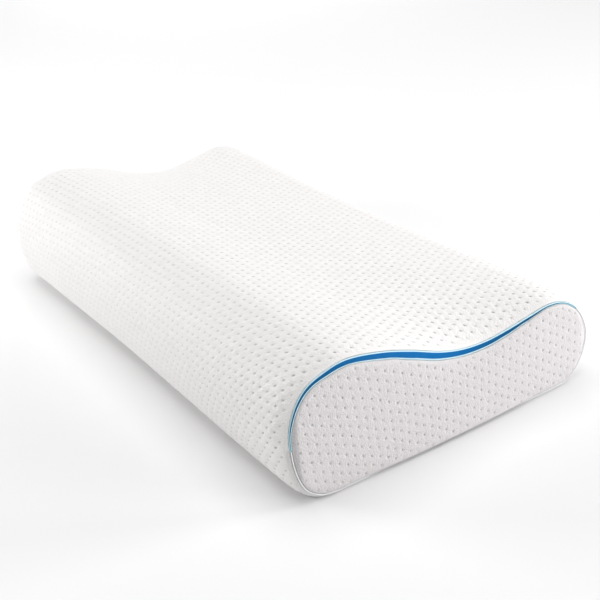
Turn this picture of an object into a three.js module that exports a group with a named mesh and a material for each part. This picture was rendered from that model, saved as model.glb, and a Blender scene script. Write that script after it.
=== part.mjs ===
// A contour pillow for the neck: a foam-filled body in a knitted wrap, with a tall lobe and a low lobe.
// The end seams follow the valley between the lobes, and between the ends the wrap is pulled taut over it.
// Each end has a sewn panel, a tapered blue strip let into the top of its seam, and a thin cord in the rest.
// Millimetres, +Z up. X runs along the pillow, Y from the tall lobe (-Y) to the low lobe (+Y).
// The origin is the middle of the flat base.
import * as THREE from "three";

const LENGTH = 600;
const END_ROUND = 24;
const END_CROWN = 4;
const CROWN_POWER = 2.5;
const PANEL_THICK = 2.5;
const BAND_THICK = 1.6;
const BAND_SIDE_HEIGHT = 0.8;
const BAND_SHOULDER_SHARE = 0.2;
const BAND_EDGE_MAX = 1.2;
const BAND_EDGE_SHARE = 0.4;
const PIPING_DIAMETER = 1.8;
const GAP = 0.3;
const TIP_GAP = 0.6;
const SPINE_Z = 42;
const LOBE_Y = 150;
const SLUMP_Z = 55;
const SLUMP_REACH = 45;
const SPAN_SHARE = 0.95;
const SPAN_REACH = 55;
const SPAN_FROM_Y = -95;
const SPAN_TO_Y = 131;
const SHOULDER_LIFT = 2.6;
const SHOULDER_Y = -82;
const SHOULDER_REACH = 48;

const PROFILE_STEPS = 74;
const BODY_STATIONS = 14;
const ROUND_STATIONS = 6;
const CORD_SIDES = 6;

// The seam line of one end, from the front edge of the flat base over the top to the back edge.
// Columns: across, up, and the width of the blue strip there (0 where the seam holds only the cord).
const PROFILE = [
  { y: -112, z: 1.2, band: 0 },
  { y: -128, z: 1.5, band: 0 },
  { y: -143, z: 4.6, band: 0 },
  { y: -157, z: 15, band: 0 },
  { y: -165, z: 33, band: 0 },
  { y: -168.7, z: 60, band: 0.9 },
  { y: -167.2, z: 80.5, band: 1.4 },
  { y: -158.2, z: 101.2, band: 2 },
  { y: -146, z: 113.6, band: 2.5 },
  { y: -128, z: 120, band: 3.1 },
  { y: -107, z: 122.7, band: 4 },
  { y: -70, z: 115, band: 4.8 },
  { y: -40, z: 104, band: 5.5 },
  { y: -7, z: 90.3, band: 4.9 },
  { y: 18, z: 83.8, band: 4.2 },
  { y: 45, z: 81.9, band: 3.3 },
  { y: 72, z: 84.6, band: 2.7 },
  { y: 98, z: 89, band: 2.1 },
  { y: 123, z: 92.2, band: 1.5 },
  { y: 141, z: 88.4, band: 1.1 },
  { y: 157, z: 76, band: 0.9 },
  { y: 166, z: 60, band: 0 },
  { y: 168.9, z: 46, band: 0 },
  { y: 166, z: 30, band: 0 },
  { y: 157, z: 14, band: 0 },
  { y: 143, z: 3.8, band: 0 },
  { y: 128, z: 1.4, band: 0 },
  { y: 112, z: 1.2, band: 0 },
];
const FIRST_BAND_ROW = 5;
const LAST_BAND_ROW = 20;

// How the filled body lies along its length: how far it stands proud of the seam line, how far its back is
// drawn in, and how far the front of the tall lobe slumps (its top goes back and its foot comes forward).
const FILLING = [
  { x: -300, swell: 1.5, backIn: 13, slump: 3.2 },
  { x: -180, swell: 1, backIn: 12.5, slump: 3 },
  { x: -60, swell: 1.5, backIn: 12, slump: 1.5 },
  { x: 60, swell: 3.8, backIn: 10.5, slump: 0.5 },
  { x: 150, swell: 5.7, backIn: 6, slump: 0 },
  { x: 240, swell: 6.8, backIn: 1.5, slump: 0 },
  { x: 300, swell: 6.8, backIn: 0, slump: 0 },
];

// Each end: which way it faces, and how far its seam is drawn in from the seam line of the profile.
const ENDS = [
  { name: "right", facing: 1, drawnIn: 0 },
  { name: "left", facing: -1, drawnIn: 2.5 },
];

const COLOURS = {
  wrap: "#f3f2f0",
  panel: "#dedade",
  band: "#176eb9",
  piping: "#e9ecec",
};

// Smooth value of one column at x, through the rows of a table.
function along(rows, column, x) {
  const last = rows.length - 2;
  let i = rows.findIndex((row, k) => k <= last && x <= rows[k + 1].x);
  i = i < 0 ? last : i;
  const a = rows[i];
  const b = rows[i + 1];
  const before = rows[Math.max(i - 1, 0)];
  const after = rows[Math.min(i + 2, rows.length - 1)];
  const span = b.x - a.x;
  const t = THREE.MathUtils.clamp((x - a.x) / span, 0, 1);
  const slopeA = ((b[column] - before[column]) / (b.x - before.x)) * span;
  const slopeB = ((after[column] - a[column]) / (after.x - a.x)) * span;
  const rise = b[column] - a[column];
  return a[column] + t * (slopeA + t * (3 * rise - 2 * slopeA - slopeB + t * (slopeA + slopeB - 2 * rise)));
}

// The seam line as evenly spread points, each with its outward normal and the width of the strip there.
function seamLine() {
  const curve = new THREE.CatmullRomCurve3(
    PROFILE.map((row) => new THREE.Vector3(row.y, row.z, row.band)),
    false,
    "centripetal",
  );
  const rows = PROFILE.length - 1;
  const points = [];
  for (let i = 0; i <= PROFILE_STEPS; i += 1) {
    const row = curve.getUtoTmapping(i / PROFILE_STEPS) * rows;
    const at = curve.getPoint(row / rows);
    const tangent = curve.getTangent(row / rows);
    const length = Math.hypot(tangent.x, tangent.y);
    const hasBand = row >= FIRST_BAND_ROW && row <= LAST_BAND_ROW;
    points.push({
      y: at.x,
      z: Math.max(at.y, PROFILE[0].z),
      outY: -tangent.y / length,
      outZ: tangent.x / length,
      hasBand,
      width: hasBand ? stripWidth(at.z) : PIPING_DIAMETER,
    });
  }
  return points;
}

// Full width of the strip with its two woven edges.
function stripWidth(band) {
  const edge = Math.min(BAND_EDGE_MAX, BAND_EDGE_SHARE * band);
  return Math.max(band + 2 * edge, PIPING_DIAMETER);
}

const SEAM = seamLine();
const SPAN_FIRST = SEAM.findIndex((point) => point.z > SPINE_Z && point.y >= SPAN_FROM_Y);
const SPAN_LAST = SEAM.findLastIndex((point) => point.z > SPINE_Z && point.y <= SPAN_TO_Y);

// The body's cross-section at x, offset outwards from the seam line and resting on the base plane.
function section(x, offset) {
  const backIn = along(FILLING, "backIn", x);
  const slump = along(FILLING, "slump", x);
  const ring = SEAM.map((point) => {
    const out = offset(point);
    const back = THREE.MathUtils.clamp(point.y / LOBE_Y, 0, 1);
    const front = THREE.MathUtils.clamp(-point.y / LOBE_Y, 0, 1);
    const shift = (slump * front * (point.z - SLUMP_Z)) / SLUMP_REACH - backIn * back;
    return new THREE.Vector3(x, point.y + point.outY * out + shift, Math.max(point.z + point.outZ * out, 0));
  });
  return pulledTaut(ring, x);
}

// Away from its end seams the wrap is pulled taut: it spans the valley almost straight from lobe to lobe, and
// stands a little fuller on the shoulder of the tall lobe.
function pulledTaut(ring, x) {
  const taut = SPAN_SHARE * (1 - Math.exp((Math.abs(x) - LENGTH / 2) / SPAN_REACH));
  const from = ring[SPAN_FIRST];
  const to = ring[SPAN_LAST];
  return ring.map((at, i) => {
    const point = SEAM[i];
    const line = THREE.MathUtils.mapLinear(at.y, from.y, to.y, from.z, to.z);
    const rise = i > SPAN_FIRST && i < SPAN_LAST ? Math.max(line - at.z, 0) : 0;
    const shoulder = point.z > SPINE_Z ? softHump((point.y - SHOULDER_Y) / SHOULDER_REACH) : 0;
    return new THREE.Vector3(at.x, at.y, at.z + taut * (rise + SHOULDER_LIFT * shoulder));
  });
}

// One at the middle, falling smoothly to nothing at -1 and 1.
function softHump(t) {
  return Math.max(1 - t * t, 0) ** 2;
}

// The wrap's own edge at one end, just outside the strip and the cord.
function wrapEdge(end) {
  return section((end.facing * LENGTH) / 2, (point) => point.width / 2 + GAP - end.drawnIn);
}

// Points of the softly crowned end face, `inset` mm inside the wrap's edge and then `share` of the way out.
function faceRing(end, inset, share, lift) {
  const edge = wrapEdge(end);
  return edge.map((at, i) => {
    const reach = at.y * SEAM[i].outY + (at.z - SPINE_Z) * SEAM[i].outZ;
    const radius = (1 - inset(SEAM[i]) / reach) * share;
    const rise = END_CROWN * (1 - radius ** CROWN_POWER) + lift;
    return new THREE.Vector3(
      at.x + end.facing * rise,
      at.y * radius,
      SPINE_Z + (at.z - SPINE_Z) * radius,
    );
  });
}

const PANEL_SHARES = [1, 0.8, 0.55, 0.25];

function panelInset(point) {
  return point.width + 2 * GAP;
}

function panelRings(end, lift) {
  return PANEL_SHARES.map((share) => faceRing(end, panelInset, share, lift));
}

// A closed solid through rings of equal point count, its two ends closed by fans.
function loft(rings) {
  const count = rings[0].length;
  const corners = rings.flat();
  const middles = [rings[0], rings[rings.length - 1]].map((ring) =>
    ring.reduce((sum, corner) => sum.add(corner), new THREE.Vector3()).divideScalar(count),
  );
  const faces = [];
  for (let i = 0; i < count; i += 1) {
    const next = (i + 1) % count;
    for (let r = 0; r < rings.length - 1; r += 1) {
      const low = r * count;
      const high = low + count;
      faces.push([low + i, low + next, high + next], [low + i, high + next, high + i]);
    }
    const top = (rings.length - 1) * count;
    faces.push([next, i, corners.length], [top + i, top + next, corners.length + 1]);
  }
  return solidGeometry([...corners, ...middles], faces);
}

// Triangles as a geometry whose faces point out.
function solidGeometry(corners, faces) {
  const volume = faces.reduce((sum, [a, b, c]) => {
    return sum + corners[a].dot(new THREE.Vector3().crossVectors(corners[b], corners[c]));
  }, 0);
  const outward = volume > 0 ? faces : faces.map(([a, b, c]) => [a, c, b]);
  const geometry = new THREE.BufferGeometry().setFromPoints(corners);
  geometry.setIndex(outward.flat());
  geometry.computeVertexNormals();
  return geometry;
}

// Distances from an end's seam at which its rounded edge has sections, with the share of the swell there.
function roundedSteps() {
  return Array.from({ length: ROUND_STATIONS }, (_, k) => {
    const angle = ((k + 1) / ROUND_STATIONS) * (Math.PI / 2);
    return { inwards: END_ROUND * (1 - Math.cos(angle)), share: Math.sin(angle) };
  });
}

function roundedSections(end) {
  return roundedSteps().map(({ inwards, share }) => {
    const x = end.facing * (LENGTH / 2 - inwards);
    const full = along(FILLING, "swell", x);
    return section(x, (point) => {
      const seam = point.width / 2 + GAP - end.drawnIn;
      return seam + (full - seam) * share;
    });
  });
}

function bodyEnd(end) {
  const cap = [wrapEdge(end), ...panelRings(end, 0)].reverse();
  return [...cap, ...roundedSections(end)];
}

function pillowBody() {
  const [near, far] = ENDS;
  const middle = [];
  const reach = LENGTH / 2 - END_ROUND;
  for (let i = 1; i < BODY_STATIONS; i += 1) {
    const x = reach * (1 - (2 * i) / BODY_STATIONS);
    const full = along(FILLING, "swell", x);
    middle.push(section(x, () => full));
  }
  return loft([...bodyEnd(near), ...middle, ...bodyEnd(far).reverse()]);
}

function endPanel(end) {
  const outer = panelRings(end, GAP + PANEL_THICK).reverse();
  return loft([...outer, ...panelRings(end, GAP)]);
}

// One cross-section of the strip: flat underneath, slightly domed on top.
function stripSection(edge, panelEdge, point, facing) {
  const across = (depth, lift) => {
    const share = depth / panelInset(point);
    const at = new THREE.Vector3().lerpVectors(edge, panelEdge, share);
    at.x += facing * (GAP + lift);
    return at;
  };
  const shoulder = point.width * BAND_SHOULDER_SHARE;
  const inner = GAP + point.width;
  return [
    across(GAP, 0),
    across(GAP, BAND_SIDE_HEIGHT),
    across(GAP + shoulder, BAND_THICK),
    across(inner - shoulder, BAND_THICK),
    across(inner, BAND_SIDE_HEIGHT),
    across(inner, 0),
  ];
}

function blueBand(end) {
  const edges = wrapEdge(end);
  const panelEdges = faceRing(end, panelInset, 1, 0);
  const rings = [];
  SEAM.forEach((point, i) => {
    if (point.hasBand) {
      rings.push(stripSection(edges[i], panelEdges[i], point, end.facing));
    }
  });
  return loft(rings);
}

// The cord lies in the seam below the strip, from one tip of the strip round the base to the other.
function pipingPath(end) {
  const centre = (point) => GAP + point.width / 2;
  const line = faceRing(end, centre, 1, GAP + PIPING_DIAMETER / 2);
  const firstBand = SEAM.findIndex((point) => point.hasBand);
  const lastBand = SEAM.findLastIndex((point) => point.hasBand);
  const start = shortOf(line[lastBand], line[lastBand + 1]);
  const finish = shortOf(line[firstBand], line[firstBand - 1]);
  return [start, ...line.slice(lastBand + 1), ...line.slice(0, firstBand), finish];
}

// A point a tip's gap away from `tip`, on the way to `other`.
function shortOf(tip, other) {
  return new THREE.Vector3().lerpVectors(tip, other, TIP_GAP / tip.distanceTo(other));
}

function piping(end) {
  const path = pipingPath(end);
  const radius = PIPING_DIAMETER / 2;
  const rings = path.map((at, i) => {
    const before = path[Math.max(i - 1, 0)];
    const after = path[Math.min(i + 1, path.length - 1)];
    const tangent = new THREE.Vector3().subVectors(after, before).normalize();
    const side = new THREE.Vector3().crossVectors(tangent, new THREE.Vector3(end.facing, 0, 0)).normalize();
    const out = new THREE.Vector3().crossVectors(side, tangent);
    return Array.from({ length: CORD_SIDES }, (_, k) => {
      const angle = (k / CORD_SIDES) * 2 * Math.PI;
      return at
        .clone()
        .addScaledVector(side, radius * Math.cos(angle))
        .addScaledVector(out, radius * Math.sin(angle));
    });
  });
  return loft(rings);
}

function cloth(colour, roughness) {
  return new THREE.MeshStandardMaterial({ color: colour, roughness, metalness: 0 });
}

function named(name, geometry, material) {
  const mesh = new THREE.Mesh(geometry, material);
  mesh.name = name;
  return mesh;
}

const pillow = new THREE.Group();
pillow.add(named("pillow_body", pillowBody(), cloth(COLOURS.wrap, 0.9)));
for (const end of ENDS) {
  pillow.add(named(`end_panel_${end.name}`, endPanel(end), cloth(COLOURS.panel, 0.9)));
  pillow.add(named(`band_${end.name}`, blueBand(end), cloth(COLOURS.band, 0.6)));
  pillow.add(named(`piping_${end.name}`, piping(end), cloth(COLOURS.piping, 0.7)));
}

export default pillow;
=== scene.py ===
"""A contour neck pillow: its knitted wrap, its two end panels, and the strip and cord in each end seam."""
import math

import bmesh
import bpy
import numpy as np
from bpy.props import FloatProperty, FloatVectorProperty, PointerProperty
from mathutils import Matrix, Vector
from mathutils.geometry import delaunay_2d_cdt


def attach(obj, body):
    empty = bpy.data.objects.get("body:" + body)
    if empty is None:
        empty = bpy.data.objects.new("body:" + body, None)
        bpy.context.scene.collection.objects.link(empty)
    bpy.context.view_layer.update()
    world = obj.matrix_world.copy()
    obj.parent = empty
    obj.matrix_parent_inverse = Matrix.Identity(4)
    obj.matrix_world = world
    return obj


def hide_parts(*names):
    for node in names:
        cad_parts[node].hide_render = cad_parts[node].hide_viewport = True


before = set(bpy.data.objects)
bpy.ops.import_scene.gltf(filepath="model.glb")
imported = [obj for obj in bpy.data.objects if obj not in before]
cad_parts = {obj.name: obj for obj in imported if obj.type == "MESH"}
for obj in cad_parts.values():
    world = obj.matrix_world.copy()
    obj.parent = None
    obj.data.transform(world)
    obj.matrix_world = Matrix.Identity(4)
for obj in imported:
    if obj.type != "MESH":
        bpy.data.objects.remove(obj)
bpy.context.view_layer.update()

bl_info = {
    "name": "Contour Neck Pillow",
    "version": (1, 0, 0),
    "blender": (4, 5, 0),
    "location": "View3D > Sidebar > Pillow",
    "description": "Makes a knitted contour pillow round its packed solids",
    "category": "Add Mesh",
}

MM = 0.001
BODY = "root"

# The seam line of an end, from the front edge of the flat base over the top to the back edge.
# Columns, in mm: across, up, and the width of the blue strip there.
SEAM_ROWS = (
    (-112, 1.2, 0),
    (-128, 1.5, 0),
    (-143, 4.6, 0),
    (-157, 15, 0),
    (-165, 33, 0),
    (-168.7, 60, 0.9),
    (-167.2, 80.5, 1.4),
    (-158.2, 101.2, 2),
    (-146, 113.6, 2.5),
    (-128, 120, 3.1),
    (-107, 122.7, 4),
    (-70, 115, 4.8),
    (-40, 104, 5.5),
    (-7, 90.3, 4.9),
    (18, 83.8, 4.2),
    (45, 81.9, 3.3),
    (72, 84.6, 2.7),
    (98, 89, 2.1),
    (123, 92.2, 1.5),
    (141, 88.4, 1.1),
    (157, 76, 0.9),
    (166, 60, 0),
    (168.9, 46, 0),
    (166, 30, 0),
    (157, 14, 0),
    (143, 3.8, 0),
    (128, 1.4, 0),
    (112, 1.2, 0),
)
# The first and the last row that the strip runs past.
STRIP_ROWS = (5, 20)

# How the filled wrap lies along the pillow. Columns, in mm: the place along it, how far the wrap swells past
# the seam line, how far its back is drawn in, and how far its front slumps.
FILLING_ROWS = (
    (-300, 1.5, 13, 3.2),
    (-180, 1, 12.5, 3),
    (-60, 1.5, 12, 1.5),
    (60, 3.8, 10.5, 0.5),
    (150, 5.7, 6, 0),
    (240, 6.8, 1.5, 0),
    (300, 6.8, 0, 0),
)
SWELL, BACK_IN, SLUMP = 1, 2, 3

# Each end: its name, the way it faces, and how far its seam is drawn in, in mm.
ENDS = (("right", 1, 0.0), ("left", -1, 2.5))

# The pillow's form, in mm: half its length between the seams, how far from a seam it rounds over, how far its
# end faces bulge, and where its lobes, its slump and the middle of its end faces are.
HALF_LENGTH = 300.0
END_ROUND = 24.0
END_CROWN = 4.0
CROWN_POWER = 2.5
LOBE_Y = 150.0
SLUMP_Z = 55.0
SLUMP_REACH = 45.0
SPINE_Z = 42.0

# Between the ends the wrap is pulled taut over the valley, and stands fuller on the tall lobe's shoulder.
SPAN_SHARE = 0.95
SPAN_REACH = 55.0
SPAN_FROM_Y = -95.0
SPAN_TO_Y = 131.0
SHOULDER_LIFT = 2.6
SHOULDER_Y = -82.0
SHOULDER_REACH = 48.0

# What is sewn into each end seam, in mm.
GAP = 0.3
PANEL_LIFT = 2.8
STRIP_EDGE_MAX = 1.2
STRIP_EDGE_SHARE = 0.4
STRIP_THICK = 1.6
STRIP_SIDE = 1.15
CORD_DIAMETER = 1.8
CORD_SIDES = 12
TIP_GAP = 0.6
STITCH_INSET = 0.9
STITCH_SUNK = 0.75
STITCH_SEGMENTS = 6
STITCH_RINGS = 5
# The seam line is a curve with this many points between rows, read at even steps of this many mm.
CURVE_STEPS = 60
SEAM_SPACING = 1.5
TANGENT_REACH = 0.5

# The dimples' rows are this share of the pitch apart, and the meshes have this many steps a dimple.
ROW_RATIO = math.sqrt(3) / 2
WRAP_STEPS = 4
PANEL_STEPS = 8

# The knit's surface, in mm. Its loops are about 1 mm apart on the real cloth, and drawn coarser here, so that
# they show.
LOOP_WALE = 1.9
LOOP_COURSE = 1.5
LOOP_HIGH = 0.07
YARN_GRAIN = 1.5
GRAIN_HIGH = 0.8
PINHOLE_DEEP = 0.45
GRAIN_DETAIL = 1.0
YARN_PATCH = 9.0
PATCH_DETAIL = 2.0
YARN_RANGE = (0.3, 0.7)
YARN_DARK = 0.96
# In random patches the painted shade in the dimples is weaker, down to this share, over this range of the
# patch noise.
WEAK_DIMPLE = 0.45
WEAK_RANGE = (0.35, 0.65)

# The knit wanders off its even rows and columns: how far and over what lengths, in mm, and from what angles.
UNEVEN = 0.7
WANDER_LONG = (23.0, 17.0)
WANDER_SHORT = (9.1, 13.0)
WANDER_START = (1.3, 0.4, 2.1)

# How the knit lies on the wrap, in mm round the pillow from the front edge of the base.
KNIT_FROM = 42.0
KNIT_TO = 440.0
FRONT_EASE_END = 165.0
FRONT_EASE = 0.1
FRONT_LEAN = 0.14
LEAN_FADE = 45.0
ROW_DRIFT = 0.074
LEAD_ROWS = 12
TAIL_ROWS = 16
BASE_ROWS = 26
BASE_WIDTH = 224.0

# How freely the knit can be drawn in, which also sets how dark the painted shade in its dimples is: by its
# place round the wrap, and freer towards the right end.
SLACK_PLACES = (115, 190, 245, 305, 345, 395)
SLACK_ROUND = (0.38, 0.64, 1.0, 1.2, 1.2, 0.8)
SLACK_RIGHT = 1.15
SLACK_POWER = 6
# The knit is held flat at the seams and on the base: where the dimples start, and how fast they come, in mm.
SEAM_BARE, SEAM_FADE = 2.0, 6.0
BASE_BARE, BASE_FADE = 2.0, 5.0

# The wrap's rounded edge at its seam, in mm: columns there, and how far it stands proud beside the cord and
# beside the strip. It rounds over more fully beside the cord.
EDGE_COLUMNS = (0, 0.25, 0.7, 1.4, 2.4, 3.6, 5.2)
WRAP_LIP = 0.5
STRIP_LIP = 0.75
CORD_ROUNDING = 0.5
STRIP_ROUNDING = 1.0
# It turns over in steps, each a rise and an inset in mm, and its face goes on behind the panel.
LIP_STEPS = ((0.5, 0.15), (0.9, 0.45), (0.8, 0.75), (0.2, 0.8))
FACE_SHARES = (0.9, 0.7, 0.4, 0.15)
FACE_SUNK = 0.98

# The panel's knit was cut a little off the thread: its rows bend down both ways from here, in mm.
PANEL_LEVEL_Y = -20.0
PANEL_BEND = 0.0011
PANEL_BEND_REACH = (-100, 55)
# It is held a little long upwards, so its columns of dimples stand this much closer.
PANEL_STRETCH = 1.06
# Its mesh: the steps of its outline, the columns and rows of its lattice, how far inside the seam these start
# and its dimples come in, in mm, and how close two points are before they count as one.
PANEL_SEAM_SPACING = 1.3
PANEL_BASE_STEPS = 170
PANEL_HALF_COLUMNS = 144
PANEL_ROWS = (-2, 104)
PANEL_CLEAR = 0.7
PANEL_BARE, PANEL_FADE = 1.0, 3.0
WELD = 1e-4

# The strip's weave and colours. Its weft is a few tenths of a mm apart on a real one, and drawn coarser here.
# Bands are widths of the strip, in mm, over which its colour changes or its core takes up more of it.
STRIP_COLUMNS = 11
WEFT_SPACING = 0.8
WEFT_HIGH = 0.04
DEEP_BANDS = (1.0, 5.0)
TIP_BANDS = (0.92, 1.5)
CORE_BANDS = (1.0, 3.4)
CORE_SHARES = (0.36, 0.64)
CORE_SHIFT = 0.1
CORE_SOFT = 0.14

# The cord's cover and the thread: patch sizes and relief in mm, and how dark their darker patches are.
COVER_PATCH = 3.0
COVER_RELIEF = 0.2
COVER_DARK = 0.9
THREAD_PATCH = 0.8
THREAD_DARK = 0.85

# The studio, in metres. Low soft boxes: name, direction in degrees from +X towards +Y, and distance.
SOFT_BOXES = (("front", 225, 1.8), ("right", 30, 2.4), ("back_right", 60, 2.4), ("back_left", 150, 2.4))
SOFT_BOX_ELEVATION = 12.0
SOFT_BOX_LIFT = 0.1
SOFT_BOX_SIZE = 0.8
TOP_LIGHT_HEIGHT = 2.2
TOP_LIGHT_SIZE = 2.0
SENSOR_WIDTH = 36
NEAR_CLIP = 0.05
# The floor, in mm.
FLOOR_HALF = 4000.0
FLOOR_DROP = 0.2


def linear(hex_colour):
    """A linear RGB triple from an sRGB hex colour."""
    channels = [int(hex_colour[i : i + 2], 16) / 255 for i in (1, 3, 5)]
    return tuple(c / 12.92 if c <= 0.04045 else ((c + 0.055) / 1.055) ** 2.4 for c in channels)


def colour_property(name, hex_colour, description):
    return FloatVectorProperty(
        name=name, description=description, default=linear(hex_colour), size=3, subtype="COLOR", min=0, max=1
    )


def length_property(name, millimetres, description):
    return FloatProperty(
        name=name, description=description, default=millimetres * MM, min=0, unit="LENGTH", subtype="DISTANCE"
    )


def angle_property(name, degrees, description):
    return FloatProperty(name=name, description=description, default=math.radians(degrees), subtype="ANGLE")


def lean_property(degrees):
    return angle_property("Dimple Lean", degrees, "Direction on the cloth that a dimple is longer in")


def stretch_property(factor):
    return FloatProperty(
        name="Dimple Stretch", description="How much longer than round a dimple is", default=factor, min=1
    )


def power_property(name, watts, description):
    return FloatProperty(name=name, description=description, default=watts, min=0, unit="POWER")


class PillowWrapSettings(bpy.types.PropertyGroup):
    """Sizes and colours of the knitted wrap."""

    pitch: length_property("Dimple Pitch", 9.8, "Distance between neighbouring dimples of the knit")
    depth: length_property("Dimple Depth", 1.3, "How deep a dimple is drawn in")
    radius: length_property("Dimple Radius", 3.8, "How far the drawn-in cloth round a dimple reaches")
    lean: lean_property(48)
    stretch: stretch_property(1.3)
    pinhole: length_property("Pinhole Radius", 2.1, "Radius of the shaded bottom of a dimple")
    colour: colour_property("Wrap Colour", "#ebe9e8", "Colour of the raised knit")
    # Painted shade: the colour that the middle of each dimple is darkened to, within the pinhole radius.
    painted_shade: colour_property("Dimple Painted Shade", "#a5a3a2", "Colour at the bottom of a dimple")


class PillowPanelSettings(bpy.types.PropertyGroup):
    """Sizes and colours of the two end panels."""

    pitch: length_property("Dimple Pitch", 10.3, "Distance between neighbouring dimples of the knit")
    depth: length_property("Dimple Depth", 0.7, "How deep a dimple is drawn in")
    radius: length_property("Dimple Radius", 2.9, "How far the drawn-in cloth round a dimple reaches")
    lean: lean_property(0)
    stretch: stretch_property(1.1)
    pinhole: length_property("Pinhole Radius", 1.7, "Radius of the shaded bottom of a dimple")
    thickness: length_property("Panel Thickness", 2, "Thickness of the panel's knit")
    edge_dip: length_property("Edge Dip", 1.2, "How far the panel sinks into its seam")
    edge_reach: length_property("Edge Reach", 4, "How far from the seam the panel starts to sink")
    # Painted shade: the panel's colour is the wrap's knit painted darker and a little pinker, as the end
    # faces get less light.
    colour: colour_property("Panel Colour", "#dad6d7", "Colour of the raised knit")
    # Painted shade: the colour that the middle of each dimple is darkened to, within the pinhole radius.
    painted_shade: colour_property("Dimple Painted Shade", "#a8a3a4", "Colour at the bottom of a dimple")


class PillowStripSettings(bpy.types.PropertyGroup):
    """Colours of the blue strip in each end seam."""

    colour: colour_property("Strip Colour", "#0a6bae", "Colour of the strip where it is wide")
    deep: colour_property("Deep Colour", "#0f4a66", "Colour of the strip where it narrows")
    tip: colour_property("Tip Colour", "#4f8f9d", "Colour of the strip's two tips")
    edge: colour_property("Edge Colour", "#d4f3fd", "Colour of the strip's two pale woven edges")


class PillowCordSettings(bpy.types.PropertyGroup):
    """Sizes and colours of the seam's cord and stitches."""

    diameter: length_property("Cord Diameter", 1.35, "Diameter of the cord in the seam")
    stitch_spacing: length_property("Stitch Spacing", 3.2, "Distance from one stitch to the next")
    stitch_length: length_property("Stitch Length", 2.2, "Length of one stitch")
    thread: length_property("Thread Diameter", 0.45, "Diameter of the sewing thread")
    colour: colour_property("Cord Colour", "#f4f5f5", "Colour of the cord")
    thread_colour: colour_property("Thread Colour", "#e6e4e4", "Colour of the sewing thread")


class PillowStudioSettings(bpy.types.PropertyGroup):
    """The camera, the floor and the light."""

    azimuth: angle_property("Azimuth", 59.47, "Direction of the camera round the pillow")
    elevation: angle_property("Elevation", 27.38, "Downward tilt of the camera")
    roll: angle_property("Roll", -6.14, "Turn of the camera about its own axis")
    place: FloatVectorProperty(
        name="Camera Place", description="Where the camera stands", default=(1.101, -0.6157, 0.677), size=3,
        subtype="TRANSLATION", unit="LENGTH",
    )
    lens: FloatProperty(
        name="Lens", description="Focal length on a 36 mm wide sensor, in mm", default=78.44, min=1,
    )
    floor: colour_property("Floor Colour", "#f0f0f0", "Colour of the floor")
    sky: FloatProperty(
        name="Sky Light", description="Strength of the even light all round", default=0.22, min=0,
    )
    front: power_property("Front Light", 20.5, "Power of the low soft box in front, towards the left end")
    right: power_property("Right Light", 18.2, "Power of the low soft box off the right end")
    back_right: power_property("Back Right Light", 29.5, "Power of the low soft box behind the right end")
    back_left: power_property("Back Left Light", 13, "Power of the low soft box behind the left end")
    top: power_property("Top Light", 34.5, "Power of the wide soft box overhead")


def smooth_line(rows, steps):
    """A centripetal Catmull-Rom curve with `steps` points between rows, and each point's place in rows."""
    points = np.array(rows, float)
    points = np.vstack([2 * points[0] - points[1], points, 2 * points[-1] - points[-2]])
    line = []
    places = []
    for i in range(1, len(points) - 2):
        before, a, b, after = points[i - 1 : i + 3]
        d0, d1, d2 = (np.linalg.norm(q - p) ** 0.5 for p, q in ((before, a), (a, b), (b, after)))
        slope_a = ((a - before) / d0 - (b - before) / (d0 + d1) + (b - a) / d1) * d1
        slope_b = ((b - a) / d1 - (after - a) / (d1 + d2) + (after - b) / d2) * d1
        t = np.arange(steps)[:, None] / steps
        cubic = 2 * (a - b) + slope_a + slope_b
        square = 3 * (b - a) - 2 * slope_a - slope_b
        line.append(a + t * (slope_a + t * (square + t * cubic)))
        places.append(i - 1 + t[:, 0])
    return np.vstack([*line, points[-2]]), np.concatenate([*places, [len(rows) - 1.0]])


def along(column, x):
    """Smooth values of one column of the filling at each x."""
    table = np.array(FILLING_ROWS, float)
    stations, values = table[:, 0], table[:, column]
    i = np.clip(np.searchsorted(stations, x, side="left") - 1, 0, len(stations) - 2)
    before = np.maximum(i - 1, 0)
    after = np.minimum(i + 2, len(stations) - 1)
    span = stations[i + 1] - stations[i]
    t = np.clip((x - stations[i]) / span, 0, 1)
    slope_a = (values[i + 1] - values[before]) / (stations[i + 1] - stations[before]) * span
    slope_b = (values[after] - values[i]) / (stations[after] - stations[i]) * span
    rise = values[i + 1] - values[i]
    cubic = slope_a + slope_b - 2 * rise
    return values[i] + t * (slope_a + t * (3 * rise - 2 * slope_a - slope_b + t * cubic))


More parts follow.
